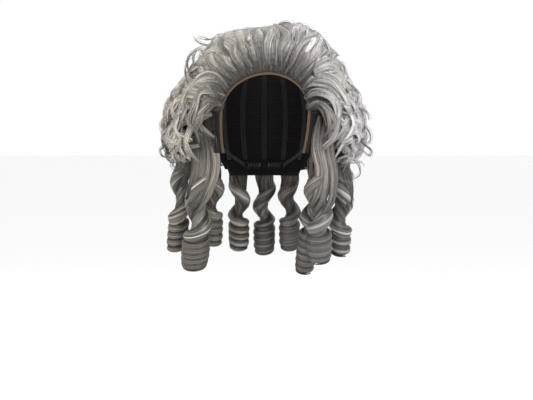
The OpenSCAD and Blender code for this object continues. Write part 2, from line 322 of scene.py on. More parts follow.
class Hair:
    """Collects locks and single strands and turns them into one mesh."""

    def __init__(self, name, fibre):
        self.name, self.fibre = name, fibre
        self.verts, self.quads, self.tris, self.quad_tones, self.tri_tones = [], [], [], [], []
        self.count = 0

    def loft(self, rings, tones):
        """rings is k×n×m×3, k closed bodies of n rings; tones is k×(n-1)×m, a shade for each face."""
        k, n, m = rings.shape[:3]
        ids = self.count + np.arange(k * n * m).reshape(k, n, m)
        a, b = ids[:, :-1], ids[:, 1:]
        self.quads.append(np.stack([a, np.roll(a, -1, 2), np.roll(b, -1, 2), b], -1).reshape(-1, 4))
        tones = np.clip(np.round(tones), 0, TONES - 1)
        self.quad_tones.append(tones.ravel())
        self.verts.append(rings.reshape(-1, 3))
        self.count += k * n * m
        ends = self.count + np.arange(2 * k).reshape(k, 2, 1)
        self.verts.append(np.stack([rings[:, 0].mean(1), rings[:, -1].mean(1)], 1).reshape(-1, 3))
        self.count += 2 * k
        first, last = ids[:, 0], ids[:, -1]
        self.tris.append(np.stack([np.roll(first, -1, 1), first, ends[:, 0] + 0 * first], -1).reshape(-1, 3))
        self.tris.append(np.stack([last, np.roll(last, -1, 1), ends[:, 1] + 0 * last], -1).reshape(-1, 3))
        self.tri_tones += [tones[:, 0].ravel(), tones[:, -1].ravel()]

    def strands(self, points, radius, tone):
        """points is k×n×3; radius and tone are k×n or anything that spreads to it."""
        k, n = points.shape[:2]
        radius, tone = np.broadcast_to(radius, (k, n)), np.broadcast_to(tone, (k, n))
        t = unit(np.gradient(points, axis=1))
        side = np.cross(t, unit(points.mean(1, keepdims=True) + np.array([0, 0, 20 * MM])))
        weak = np.linalg.norm(side, axis=-1, keepdims=True) < 0.15
        side = unit(np.where(weak, np.cross(t, np.array([0.3, 0.2, 1.0])), side))
        up = np.cross(side, t)
        turn = np.radians([210, 90, -30])
        rings = points[:, :, None] + radius[:, :, None, None] * (
            np.cos(turn)[:, None] * side[:, :, None] + np.sin(turn)[:, None] * up[:, :, None]
        )
        self.loft(rings, np.repeat(((tone[:, 1:] + tone[:, :-1]) / 2)[..., None], 3, 2))

    def build(self):
        return make_mesh(
            self.name,
            np.concatenate(self.verts),
            np.concatenate(self.quads),
            np.concatenate(self.tris),
            np.concatenate(self.quad_tones + self.tri_tones),
            FIBRES[self.fibre],
        )


FIBRE_R = 0.25 * MM  # radius of a loose strand, which stands for a few fibres
GROOVE = 0.32 * MM  # depth of the furrows between the strands of a lock
CLUMP = 6  # points of a lock's outline over which neighbouring strands share a shade


def section(ridges, under):
    """Outline of a lock's cross-section: x across, h outwards, and which points are furrows."""
    phi = np.concatenate([
        np.linspace(math.pi, 0, 2 * ridges, endpoint=False),
        np.linspace(0, -math.pi, 2 * under, endpoint=False),
    ])
    x, h = np.cos(phi), np.sin(phi)
    h = np.where(h < 0, 0.5 * h, h)
    furrow = np.arange(len(phi)) % 2 == 0
    return x, h, furrow


def ridge_tones(base, x, h, n, spread=0.85, painted_edge_shade=1.3, painted_crest_highlight=0.0):
    """A shade for each face of a lock: base is its n-ring profile, and each ridge has its own shade; on top
    come painted shade towards the edges and on the underside, and a painted highlight along the middle.
    """
    m = len(x)
    clumps = np.interp(np.arange(m), np.arange(0, m + CLUMP, CLUMP),
        rng.normal(0, 1, len(range(0, m + CLUMP, CLUMP))))
    own = np.repeat(rng.normal(0, spread * 0.7, m // 2), 2) + clumps * spread * 0.8
    slow = np.repeat(rng.normal(0, 0.45, m // 2), 2) * np.sin(np.linspace(0, rng.uniform(3, 7), n - 1))[:,
        None]
    # painted light: lighter along the middle of the lock, darker towards its edges and on its underside
    edge = painted_crest_highlight * (1 - x**2) - painted_edge_shade * np.abs(x) ** 3 - 1.6 * (h < -0.05)
    return ((base[1:] + base[:-1]) / 2)[:, None] + own + slow + edge


def lock(store, path, outward, wide, thick, tone, taper=(0.7, 1.0, 0.9, 0.3), ridges=13, loose=5, frizz=0.6,
    twist=0.0):
    """A lock of hair round a path of n points: a furrowed body with a few loose strands over it.
    wide and thick are its half sizes; outward is n×3, the side away from the head; tone runs along it."""
    n = len(path)
    s = np.linspace(0, 1, n)
    t = unit(np.gradient(path, axis=0))
    side = unit(np.cross(t, outward))
    up = np.cross(side, t)
    roll = twist * (s - 0.5)
    side, up = (
        side * np.cos(roll)[:, None] + up * np.sin(roll)[:, None],
        up * np.cos(roll)[:, None] - side * np.sin(roll)[:, None],
    )
    grow = along(s, taper)
    x, h, furrow = section(ridges, max(3, ridges // 3))
    w, d = (grow * wide)[:, None], (grow * thick)[:, None]
    lean = 0.10 * np.sin(np.linspace(0, rng.uniform(2, 6), n) + rng.uniform(0, 6.28))[:, None] * (1 - x**2)
    a = (x + lean) * w
    b = h * d
    nx, nh = x / np.maximum(w, 1e-5), h / np.maximum(d, 1e-5)
    size = np.hypot(nx, nh) + 1e-9
    dig = GROOVE * furrow * np.minimum(1, d / (1.2 * MM))
    a = a - dig * nx / size
    b = b - dig * nh / size
    rings = path[:, None] + a[..., None] * side[:, None] + b[..., None] * up[:, None]
    base = along(s, tone)
    store.loft(rings[None], ridge_tones(base, x, h, n)[None])
    if not loose:
        return
    at = rng.uniform(-0.95, 0.95, (loose, 1))
    rise = np.sqrt(1 - at**2)
    swing = np.sin(2 * math.pi * s * rng.uniform(0.6, 1.8, (loose, 1)) + rng.uniform(0, 6.28, (loose, 1)))
    across = (at * grow * wide + frizz * MM * swing)[..., None]
    lift = (rise * grow * thick + frizz * 0.5 * MM * (1 + np.roll(swing, 3, 1)) * s)[..., None]
    points = path + across * side + lift * up
    # the loose strands are a little paler on average than the lock: partly painted highlight on the hair that
    # stands proud
    shade = base + rng.normal(0.3, 0.9, (loose, 1))
    store.strands(points, FIBRE_R * rng.uniform(0.7, 1.2, (loose, 1)) * along(s, [0.5, 1, 1, 0.9, 0.3]),
        shade)


def wisp(store, path, count, tone, spread=1.0, radius=0.8):
    """A few single strands that keep together along a path of n points; radius is a share of FIBRE_R."""
    n = len(path)
    s = np.linspace(0, 1, n)
    t = unit(np.gradient(path, axis=0))
    side = unit(np.cross(t, unit(path) + np.array([0, -0.4, 0])))
    up = np.cross(side, t)
    a = rng.normal(0, spread * MM, (count, 1)) * (0.4 + s) + 0.5 * MM * np.sin(s * 7 + rng.uniform(0, 6,
        (count, 1)))
    b = rng.normal(0, spread * MM, (count, 1)) * (0.4 + s) + 0.5 * MM * np.sin(s * 6 + rng.uniform(0, 6,
        (count, 1)))
    points = path + a[..., None] * side + b[..., None] * up
    shade = tone + rng.normal(0, 0.8, (count, 1))
    store.strands(points, FIBRE_R * radius * along(s, [0.8, 1, 1, 0.8, 0.3]), shade)


# ---- paths over the head


def flow_path(start, flow, length, n, share, bend=(0.0, 0.0), proud=0.0, wave=0.0, wave_len=45 * MM):
    """A path over the head from start: it follows flow(p), turned aside by bend radians at its start and end,
    at a depth that share gives along it."""
    ds = length / (n - 1)
    p = np.array(start, float)
    line = [p]
    for k in range(n - 1):
        d = unit(p)
        v = flow(p)
        v = unit(v - d * (v @ d))
        turn = mix(bend[0], bend[1], (k / (n - 2)) ** 1.5)
        v = v * math.cos(turn) + np.cross(d, v) * math.sin(turn)
        p = lay(p + v * ds, 0.85)
        line.append(p)
    line = np.array(line)
    s = np.linspace(0, 1, n)
    line = lay(line, along(s, share), proud)
    d = unit(line)
    side = unit(np.cross(unit(np.gradient(line, axis=0)), d))
    swing = wave * np.sin(2 * math.pi * s * length / wave_len + rng.uniform(0, 6.28)) * smooth(0, 0.25, s)
    return line + side * swing[:, None], d


def corkscrew(path, out, radius, turns):
    """Winds a path round itself, from nothing at its root to radius at its tip."""
    s = np.linspace(0, 1, len(path))
    side = unit(np.cross(unit(np.gradient(path, axis=0)), out))
    a = 2 * math.pi * turns * s
    r = radius * smooth(0, 0.4, s)
    return path + side * (r * np.cos(a))[:, None] + out * (0.7 * r * (np.sin(a) - 0.4))[:, None]


FACE_MIDDLE = np.array([2, -60, -6]) * MM
LEAN = 4.4


def hairline(t, k=0.0):
    """A point on the cap k degrees outside the hairline arch; t runs from 0 at the left to 180 degrees."""
    t = np.radians(t)
    el = (30 + k) * math.sin(t)
    az = LEAN * (el + 15) / 45 - (42 + k) * math.cos(t)
    a, e = math.radians(az), math.radians(el)
    return np.array([HALF[0] * math.sin(a) * math.cos(e), -HALF[1] * math.cos(a) * math.cos(e),
        CROWN * math.sin(e)])


def combed_back(p):
    away = unit(p - FACE_MIDDLE)
    w = float(smooth(20 * MM, 95 * MM, p[1]))
    return mix(away + np.array([0, 0.35, 0]), np.array([0, 0.25, -1.0]), w)


def combed_down(p):
    return np.array([0, 0.1, -1.0])


def combed_side(p):
    w = float(smooth(-70 * MM, 20 * MM, p[1]))
    return np.array([0, mix(0.8, 0.15, w), mix(-0.35, -1.0, w)])


def scatter(az0, az1, el0, el1, count):
    """Even, jittered directions in a patch, from its lowest row up."""
    rows = max(1, round(math.sqrt(count * (el1 - el0) / max(1.0, (az1 - az0) * 0.7))))
    per = math.ceil(count / rows)
    return [
        (mix(az0, az1, (i + rng.uniform(0.1, 0.9)) / per), mix(el0, el1, (j + rng.uniform(0.1, 0.9)) / rows))
        for j in range(rows)
        for i in range(per)
    ]


# ---- the swept-up front and the crown

front = {
    "left": Hair("hair_front_left", "warm"),
    "middle": Hair("hair_front_middle", "cool"),
    "right": Hair("hair_front_right", "lilac"),
}


def front_store(x):
    x = x + rng.normal(0, 14 * MM)
    return front["left" if x < -22 * MM else "middle" if x < 30 * MM else "right"]


def dress_front():
    """Locks swept up and back from the hairline, in three staggered rows that overlap like tiles."""
    rows = [
        # degrees behind the hairline, locks, length, depth along the lock, shade
        (13.0, 26, 105, [0.35, 0.9, 1.05, 1.03, 0.95, 0.8], 4.9),
        (7.5, 34, 120, [0.2, 0.75, 1.02, 1.06, 1.0, 0.85], 5.0),
        (2.6, 46, 118, [0.03, 0.36, 0.78, 0.98, 1.03, 0.95, 0.75], 5.0),
    ]
    for row, (k, count, length, share, base) in enumerate(rows):
        for i in range(count):
            t = 5 + 170 * (i + 0.5 * (row % 2) + 0.25) / count + rng.normal(0, 0.9)
            side = math.cos(math.radians(t))
            path, out = flow_path(
                hairline(t, k), combed_back, (length + rng.normal(0, 12)) * MM * (1 - 0.25 * abs(side)), 18,
                share,
                bend=(rng.normal(0, 0.10), rng.normal(0.25 * side, 0.55)),
                wave=rng.uniform(1.0, 4.0) * MM, wave_len=rng.uniform(45, 80) * MM,
            )
            shade = base + 0.75 * rng.normal()
            # dark roots, a paler band over the top of the sweep and darker tips: painted shade and painted
            # highlight
            tone = [-1.0, 0.2, 2.6, shade, shade + 0.8, shade + 0.5, shade, shade - 0.6]
            if row < 2:
                tone = [1.5, shade - 1, shade, shade + 0.7, shade + 0.4, shade - 0.2]
            lock(
                front_store(path[6, 0]), path, out, rng.uniform(4.2, 7.2) * MM, rng.uniform(1.8, 3.2) * MM,
                tone,
                taper=(0.55, 1.0, 1.0, 0.8, 0.25), ridges=17, loose=11, frizz=1.0, twist=rng.normal(0, 0.4),
            )


def fill(store_of, patch, count, flow, length, tone, share=(0.55, 0.9, 1.02, 1.0, 0.9, 0.7), wave=(1.5, 4.5),
         wave_len=(35, 60), half=(4.0, 6.5), thick=(2.5, 4.2), n=15, bend=0.35, curl=None, loose=5,
         out_by=0.0,
         frizz=0.7):
    """Covers a patch of the head with locks. curl gives the radius and turns that they wind to at the tip."""
    for az, el in scatter(*patch, count):
        p = heading(np.array(az), np.array(el))
        room = min(1.0, (el + 44) / 60)  # low locks are shorter
        path, out = flow_path(
            lay(p, 0.85), flow, length * MM * rng.uniform(0.7, 1.3) * room, n, share,
            bend=(rng.normal(0, bend * 0.4), rng.normal(0, bend)), proud=rng.uniform(0, out_by) * MM,
            wave=rng.uniform(*wave) * MM, wave_len=rng.uniform(*wave_len) * MM,
        )
        if curl:
            path = corkscrew(path, out, curl[0] * MM * rng.uniform(0.5, 1.2),
                curl[1] * rng.uniform(0.6, 1.3) * rng.choice((-1, 1)))
        base = tone + 0.7 * rng.normal()
        # dark at the root and a little darker at the tip: painted shade where the lock goes under the hair
        # around it
        lock(
            store_of(path[4]), path, out, rng.uniform(*half) * MM, rng.uniform(*thick) * MM,
            [base - 2.6, base - 0.8, base + 0.3, base + 0.5, base, base - 0.7], loose=loose, frizz=frizz,
            twist=rng.normal(0, 0.6),
        )


dress_front()
fill(lambda p: front_store(p[0]), (-54, 54, 44, 66), 40, combed_back, 88, 5.0)

crown = Hair("hair_crown_top", "cool")
fill(lambda p: crown, (-180, 180, 60, 86), 62, combed_back, 88, 4.9)

back = {"left": Hair("hair_back_left", "warm"), "right": Hair("hair_back_right", "lilac")}
# the deeper back layer gets a lower shade than the locks over it: painted shade
fill(
    lambda p: back["left" if p[0] < 0 else "right"], (108, 252, -26, 66), 84, combed_down, 80, 3.9,
    share=(0.5, 0.75, 0.88, 0.9, 0.88, 0.75), wave=(2, 5), wave_len=(40, 60), half=(6.0, 9.0),
    thick=(1.4, 2.2), n=15,
)
fill(
    lambda p: back["left" if p[0] < 0 else "right"], (116, 244, -24, 64), 138, combed_down, 82, 4.7,
    wave=(2, 6), wave_len=(38, 58), n=16, half=(3.6, 6.4), thick=(1.8, 3.2), loose=8, frizz=1.2,
)

# ---- the curled sides

sides = {"left": Hair("hair_side_left_curls", "warm"), "right": Hair("hair_side_right_curls", "cool")}
frizz = {"left": Hair("hair_side_left_frizz", "warm"), "right": Hair("hair_side_right_frizz", "lilac")}


def side_of(places):
    return "left" if places[0][0] < 0 else "right"


COPIES = 3  # locks side by side in each sweep


def placed(store, points, wide, thick, tone, n=20, loose=7, ridges=12, **kw):
    """Locks side by side through places seen from in front, each x, z and share of the hair's depth."""
    knots = np.array([seen_at(p[0] * MM, p[1] * MM, p[2]) for p in points])
    for k in range(COPIES):
        shift = rng.normal(0, 1, (len(knots), 3)) * MM * 2.2 + np.array([0, 0,
            (k - (COPIES - 1) / 2) * wide * 0.8 * MM])
        path = spline(knots + shift * np.linspace(0.3, 1.5, len(knots))[:, None], n)
        shade = [t + rng.normal(0, 0.5) for t in tone]
        lock(store, path, unit(path), wide * MM * rng.uniform(0.6, 0.9), thick * MM, shade, loose=loose,
            ridges=ridges, **kw)


def dress_side(name, sign):
    store = sides[name]
    patch = (56, 124) if sign > 0 else (-124, -56)
    fill(lambda p: store, (*patch, 42, 66), 26, combed_back, 74, 4.7, half=(5.0, 8.0), thick=(1.8, 3.0),
        loose=7)
    # the deeper side layer gets a lower shade: painted shade under the curls over it
    fill(lambda p: store, (*patch, -22, 50), 58, combed_side, 62, 4.1,
        share=(0.45, 0.7, 0.85, 0.9, 0.85, 0.7),
         wave=(3, 8), wave_len=(32, 50), n=16, bend=0.6)
    # the left side's curls and frizz get lower shades than the right's: painted shade on the side away from
    # the key light
    fill(lambda p: store, (*patch, -20, 44), 60, combed_side, 60, 5.6 if sign < 0 else 6.0,
         share=(0.7, 0.9, 1.0, 1.02, 1.0, 0.95), wave=(2, 6), wave_len=(28, 46), n=16, bend=1.0,
         curl=(6, 1.0),
         half=(2.2, 4.2), thick=(0.9, 1.7), out_by=3.0, loose=12, frizz=2.0)
    fill(lambda p: frizz[name], (*patch, -24, 42), 120, combed_side, 46, 6.2 if sign < 0 else 6.9,
         share=(0.85, 0.97, 1.02, 1.04, 1.02, 1.0), wave=(2, 5), wave_len=(22, 38), n=14, bend=1.6,
         curl=(5, 1.2),
         half=(1.0, 2.2), thick=(0.5, 0.9), out_by=4.0, loose=12, frizz=3.2)


dress_side("left", -1)
dress_side("right", 1)

# Temple sweeps and hanging locks: x and z in millimetres, seen from in front
# the dark roots are painted shade, and the left sweeps' lower shades against the right's higher ones paint
# the light falling from the right
SWEEPS = [
    # places, half width, half thickness, shades from root to tip
    ([(-42, 26, 0.1), (-54, 40, 0.7), (-72, 42, 1.0), (-88, 28, 1.0), (-95, 6, 1.0), (-93, -12, 0.95)], 6.5,
     4.5,
     [0.5, 3, 5, 6, 5.5, 5, 4]),
    ([(-46, 18, 0.1), (-58, 27, 0.6), (-74, 28, 0.9), (-84, 12, 0.95), (-84, -10, 0.95), (-76, -26, 0.9)],
     6, 4,
     [0.5, 2.5, 4.5, 5, 4.5, 4, 3]),
    ([(-49, 8, 0.1), (-60, 12, 0.5), (-72, 6, 0.8), (-76, -12, 0.85), (-70, -32, 0.8)], 5.5, 3.5,
     [0.3, 1.5, 3.5, 4, 3.5, 2.5]),
    ([(-62, -2, 0.5), (-78, -8, 0.85), (-92, -24, 1.0), (-90, -44, 1.0), (-78, -52, 0.95)], 6, 4,
     [1, 3, 5, 5.5, 5, 4]),
    ([(46, 28, 0.1), (58, 38, 0.6), (78, 34, 0.95), (96, 16, 1.0), (103, -6, 1.0), (92, -30, 1.0),
     (84, -46, 0.95)],
     7, 4.5, [0.5, 3, 5.5, 6.8, 6.5, 6.2, 5.5, 4.5]),
    ([(49, 18, 0.1), (62, 26, 0.6), (80, 18, 0.95), (90, 0, 1.0), (86, -22, 1.0), (78, -38, 0.9)], 6.5, 4.2,
     [0.5, 2.5, 5, 6.3, 6, 5.5, 4]),
    ([(51, 6, 0.1), (63, 12, 0.5), (74, 4, 0.85), (77, -14, 0.9), (70, -34, 0.8)], 5, 3.4,
     [0.3, 1.5, 3.5, 4.2, 3.5, 2.5]),
    ([(60, 46, 0.9), (76, 52, 1.02), (90, 42, 1.02), (98, 26, 1.0), (100, 10, 1.0)], 7, 4.5,
     [4, 6, 6.8, 6.6, 6, 5]),
]
for places, wide, thick, tone in SWEEPS:
    placed(sides[side_of(places)], places, wide, thick * 0.55, tone, taper=(0.5, 1.0, 1.0, 0.9, 0.35),
        loose=10, frizz=1.4)

# ---- ringlets

# stem, waist and cuff radius, pitch of the coil at its top, middle and cuff, share of the length where the
# cuff starts, depth at which the lock first crosses the front, lean towards -X, hand from in front, fibre
CURLS = {
    "ringlet_left_front": (15, 13.5, 17.0, 92, 40, 6.6, 0.72, 24, 5, -1, "warm"),
    "ringlet_left_side": (12, 12, 12.5, 62, 44, 9.0, 0.68, 10, 6, -1, "warm"),
    "ringlet_left_rear": (11, 10.5, 12.5, 52, 38, 8.5, 0.66, 20, 0, 1, "warm"),
    "ringlet_right_front": (13, 12.5, 15, 66, 37, 8.0, 0.72, 18, 0, -1, "cool"),
    "ringlet_right_inner": (10, 10, 12, 56, 30, 8.0, 0.64, 30, 7, 1, "cool"),
    "ringlet_right_side": (12, 12.5, 13, 70, 34, 10.5, 0.78, 34, 0, 1, "lilac"),
    "ringlet_right_rear": (11, 10.5, 12.5, 50, 36, 8.5, 0.66, 24, 0, -1, "lilac"),
    "ringlet_back_left": (11, 10.5, 13, 50, 36, 8.5, 0.64, 22, 0, 1, "warm"),
    "ringlet_back_middle": (11, 10.5, 13.5, 52, 36, 8.5, 0.64, 30, 0, -1, "cool"),
    "ringlet_back_right": (11, 10.5, 13, 48, 38, 8.5, 0.64, 16, 0, -1, "lilac"),
}
FAN_RINGS = 22
TOP = 8 * MM  # the coil starts this far above its pivot, inside the hair
SWAY = 3.4 * MM  # how far the loose part of the coil winds round its axis


CAP_FOOT, BELOW_CAP = -82 * MM, -94 * MM  # heights of the cap's lower edge and of where hair hangs free of it


def off_cap(p, room=3.5 * MM):
    """Moves points that lie within the cap out to room outside it, down to its lower edge."""
    d = unit(p)
    far = np.linalg.norm(p, axis=-1)
    need = np.maximum(cap_radius(d) + room, far)
    return d * mix(far, need, smooth(BELOW_CAP, CAP_FOOT, p[..., 2]))[..., None]


class Curl:
    """The winding of one ringlet round its hanging axis."""

    def __init__(self, name):
        (self.stem, self.waist, self.cuff, self.p0, self.p1, self.p2, self.cuff_at, self.front, lean,
            self.hand,
         self.fibre) = CURLS[name]
        self.name = name
        self.pivot = np.array(next(j for j in frame["joints"] if j["child"] == name)["pos_m"])
        lo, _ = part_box(name)
        lean = math.radians(lean)
        self.down = np.array([-math.sin(lean), 0, -math.cos(lean)])
        self.length = (self.pivot[2] - lo[2]) / math.cos(lean)
        self.depth = np.linspace(-TOP, self.length, 500)
        share = np.clip(self.depth / self.length, 0, 1)
        pitch = np.interp(
            share, [0, 0.36, self.cuff_at - 0.10, self.cuff_at + 0.01, 0.93, 1],
            [self.p0, self.p0, self.p1, self.p2, self.p2, self.p2 * 0.5],
        )
        rate = 1 / (pitch * MM)
        self.turns = np.concatenate([[0], np.cumsum((rate[1:] + rate[:-1]) / 2 * np.diff(self.depth))])
        self.pitches = pitch * MM
        self.start = math.radians(-90) - self.hand * 2 * math.pi * self.turn(self.front * MM)

    def turn(self, depth):
        return np.interp(depth, self.depth, self.turns)

    def pitch(self, depth):
        return np.interp(depth, self.depth, self.pitches)

    def radius(self, depth):
        s = np.clip(depth / self.length, -0.1, 1)
        c = self.cuff_at
        return np.interp(
            s, [-0.06, 0.05, 0.14, 0.45, c - 0.06, c + 0.04, 0.9, 0.97, 1],
            [self.stem * 0.5, self.stem * 0.85, self.stem, self.waist, self.waist, self.cuff,
             self.cuff * 0.98,
             self.cuff * 0.9, self.cuff * 0.8],
        ) * MM

    def place(self, depth, theta, r):
        """A point at this depth below the pivot, angle round the axis and distance from it."""
        s = depth / self.length
        sag = mix(0.10, 0.40, smooth(0.45, 0.75, s))
        sway = SWAY * smooth(0.02, 0.2, s) * (1 - smooth(self.cuff_at - 0.1, self.cuff_at + 0.03, s))
        wind = self.start + self.hand * 2 * math.pi * self.turn(depth)
        y = r * np.sin(theta)
        across = np.stack([r * np.cos(theta) + sway * np.cos(wind), y + sway * np.sin(wind), y * sag], -1)
        return off_cap(self.pivot + self.down * depth[..., None] + across)

    def ribbon(self, store, lead=0.0, cover=1.0, thick=1.0, tone=5.0, ridges=22, stop=1.0, inset=0.0):
        """The wound lock. lead turns it ahead, cover is the share of the pitch that it covers."""
        first, last = -TOP, self.length * stop
        total = self.turn(last)
        n = int(26 * total) + 8
        depth0 = np.interp(np.linspace(0, total, n), self.turns, self.depth)
        s = np.clip(depth0 / self.length, 0, 1)
        theta0 = self.start + self.hand * 2 * math.pi * (self.turn(depth0) - lead)
        r0 = self.radius(depth0)
        pitch = self.pitch(depth0)
        slope = np.arctan2(pitch, 2 * math.pi * r0)
        wide = 0.5 * pitch * np.cos(slope) * cover * np.interp(
            s, [0, 0.2, 0.5, self.cuff_at - 0.08, self.cuff_at + 0.03, 1],
            [0.50, 0.60, 0.66, 0.74, 0.96, 0.98]
        )
        tip = smooth(0, 0.03, (last - depth0) / self.length) * 0.9 + 0.1
        wide = wide * tip * smooth(-0.12, 0.02, (depth0 - first) / self.length - 0.08)
        puff = np.interp(s, [0, 0.3, self.cuff_at, 1], [3.0, 5.0, 2.7, 2.4]) * MM * thick * (0.4 + 0.6 * tip)
        x, h, furrow = section(ridges, 6)
        dig = GROOVE * furrow
        rng.random()  # one unused draw, which keeps the later ones as they are
        off = x * wide[:, None]
        depth = depth0[:, None] + self.hand * np.cos(slope)[:, None] * off
        theta = theta0[:, None] - np.sin(slope)[:, None] * off / r0[:, None]
        out = r0[:, None] - puff[:, None] * 0.75 + h * puff[:, None] - dig - inset * MM
        rings = self.place(depth, theta, out)
        # darker where the coil leaves the hair above it and at its very foot: painted shade; the two last
        # arguments of ridge_tones add painted shade at the edges and a painted highlight along the middle
        base = tone + along(s, [-2.6, -0.6, 0.3, 0.4, 0.2, 0.3, 0.2]) - 2.0 * smooth(0.97, 1, s)
        store.loft(rings[None], ridge_tones(base, x, h, n, 1.5, 3.4, 1.5)[None])
        # loose strands over the lock, a little paler on average than it: partly painted highlight
        k = 16
        at = rng.uniform(-0.95, 0.95, (k, 1)) + 0.05 * np.sin(np.linspace(0, 14, n) + rng.uniform(0, 6,
            (k, 1)))
        off = at * wide
        rise = np.sqrt(np.clip(1 - at**2, 0.02, 1))
        depth = depth0 + self.hand * np.cos(slope) * off
        theta = theta0 - np.sin(slope) * off / r0
        out = r0 - puff * 0.75 + rise * puff - inset * MM + rng.uniform(0.0, 0.35, (k, 1)) * MM
        store.strands(self.place(depth, theta, out), FIBRE_R * along(s, [0.5, 1, 1, 1, 0.5]),
            base + rng.normal(0.3, 1.0, (k, 1)))

    def core(self, rows=110, around=40):
        """The dark inside of the coil, closed at the top and hollow at the foot; its dark packed-fibre colour
        is painted shade.
        """
        depth = np.linspace(-TOP * 0.5, self.length * 0.995, rows)[:, None]
        theta = np.arange(around) / around * 2 * math.pi
        turn = self.turn(depth)
        wind = np.cos(theta - self.start - self.hand * 2 * math.pi * turn)
        r = self.radius(depth) - mix(5.2, 2.7, smooth(0.55, 0.75, depth / self.length)) * MM + 0.8 * MM * wind
        outer = self.place(depth + 0 * theta, theta + 0 * depth, r)
        back_up = np.array([0.992, 0.97, 0.92, 0.86])[:, None]
        shrink = np.array([0.70, 0.62, 0.58, 0.54])[:, None]
        inner_depth = self.length * back_up
        inner = self.place(inner_depth + 0 * theta, theta + 0 * inner_depth,
            self.radius(inner_depth) * shrink)
        grid = np.concatenate([outer, inner])
        rows = len(grid)
        ids = np.arange(rows * around).reshape(rows, around)
        a, b = ids[:-1], ids[1:]
        quads = np.stack([a, b, np.roll(b, -1, 1), np.roll(a, -1, 1)], -1).reshape(-1, 4)
        n = rows * around
        verts = np.concatenate([grid.reshape(-1, 3), [grid[0].mean(0), grid[-1].mean(0)]])
        cap_top = np.stack([np.roll(ids[0], -1), np.full(around, n), ids[0]], -1)
        cap_foot = np.stack([ids[-1], np.full(around, n + 1), np.roll(ids[-1], -1)], -1)
        tris = np.concatenate([cap_top, cap_foot])
        return make_mesh(self.name + "_core", verts, quads, tris, np.zeros(len(quads) + len(tris)),
            [PACKED_IN_SHADE[self.fibre]])

    def fan(self, store, rows, tone):
        """Broad locks over the front of the ringlet's shoulder, which tuck into the coil at their tips."""
        for places in rows:
            knots = [seen_at(places[0][0] * MM, places[0][1] * MM, 0.62)]
            for k, (px, pz) in enumerate(places[1:], 1):
                tuck = 1.10 - 0.40 * (k / (len(places) - 1)) ** 3
                knots.append(np.array([px * MM, self.pivot[1] - self.stem * MM * tuck, pz * MM]))
            path = spline(knots, FAN_RINGS)
            aside = (path[:, 0] - self.pivot[0]) / (self.stem * MM)
            out = unit(np.stack([0.45 * aside, -np.ones(FAN_RINGS), np.zeros(FAN_RINGS)], -1))
            base = tone + 0.5 * rng.normal()
            lock(store, path, out, rng.uniform(5.0, 6.2) * MM, rng.uniform(1.8, 2.6) * MM,
                 [base - 2.4, base - 0.6, base + 0.9, base + 1.0, base, base - 1.6],
                 taper=(0.3, 0.9, 1, 1, 0.9, 0.25), ridges=18,
                 loose=12, frizz=0.8, twist=rng.normal(0, 0.3))

    def fall(self, store, count, tone, high=34.0, low=30.0):
        """Hair that falls from the dressed sides into the top of the ringlet."""
        for k in range(count):
            around = 2 * math.pi * (k + rng.uniform(0.2, 0.8)) / count
            aim = unit(np.array([math.cos(around), math.sin(around), 0]))
            top = self.pivot + np.array([0, 0, high * MM * rng.uniform(0.6, 1.1)])
            top = lay(top + aim * self.stem * MM * 0.75, rng.uniform(0.45, 0.8))
            knots = [top]
            for depth, r in ((-8, 0.95), (8, 0.92), (low * 0.7, 0.8), (low, 0.62)):
                swirl = around + self.hand * 0.022 * (depth + 8)
                rim = self.radius(depth * MM) * r if depth > -5 else self.stem * MM * 0.9
                knots.append(self.place(np.array(depth * MM), np.array(swirl), np.array(rim)))
            path = off_cap(spline(knots, 13), 5 * MM)
            out = unit(path - (self.pivot + self.down * np.maximum(0,
                path @ self.down - self.pivot @ self.down)[:, None]) + 1e-6)
            base = tone + 0.6 * rng.normal()
            lock(store, path, out, rng.uniform(3.5, 5.0) * MM, rng.uniform(2.0, 3.0) * MM,
                 [base - 1.6, base - 0.4, base, base - 0.3, base - 1.5], taper=(0.5, 1, 1, 0.8, 0.25),
                 ridges=11, loose=4)


# Broad locks that sweep over the shoulder of a ringlet, seen from in front: places in x and z
FANS = {
    "ringlet_left_front": [
        [(-70, 2), (-63, -30), (-58, -66), (-68, -100), (-84, -124)],
        [(-76, -2), (-69, -32), (-66, -66), (-75, -98), (-88, -120)],
        [(-82, -6), (-76, -34), (-74, -66), (-82, -94), (-92, -114)],
        [(-88, -10), (-84, -36), (-83, -64), (-88, -88), (-95, -106)],
    ],
    "ringlet_left_side": [
        [(-94, -16), (-93, -46), (-97, -70), (-104, -92)],
        [(-101, -16), (-100, -46), (-103, -68), (-110, -86)],
    ],
    "ringlet_right_front": [
        [(66, -4), (62, -40), (67, -70), (64, -98), (54, -116)],
        [(74, -6), (70, -40), (76, -72), (72, -102), (60, -122)],
        [(82, -8), (79, -42), (84, -74), (81, -106), (68, -128)],
    ],
    "ringlet_right_side": [
        [(88, -22), (91, -52), (96, -78), (103, -102), (106, -122)],
        [(95, -22), (98, -52), (103, -74), (108, -96), (109, -114)],
    ],
}


def make_ringlet(name):
    curl = Curl(name)
    store = Hair(name + "_hair", curl.fibre)
    curl.ribbon(store, tone=2.1)
    # the inner ribbon, set 3.2 mm in and far darker, fills the gaps between the turns of the first: painted
    # shade
    curl.ribbon(store, lead=0.5, cover=0.7, thick=0.6, tone=0.4, ridges=12, stop=curl.cuff_at + 0.04,
        inset=3.2)
    # falls and fans get low shades, darker still at their ends: painted shade beside the face and where they
    # tuck into the coil
    curl.fall(store, 9, 1.5)
    curl.fan(store, FANS.get(name, ()), 2.5)
    hair = store.build()
    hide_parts(name)
    for piece in (hair, curl.core()):
        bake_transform(piece)


for name in CURLS:
    make_ringlet(name)

# ---- stray curls and wisps

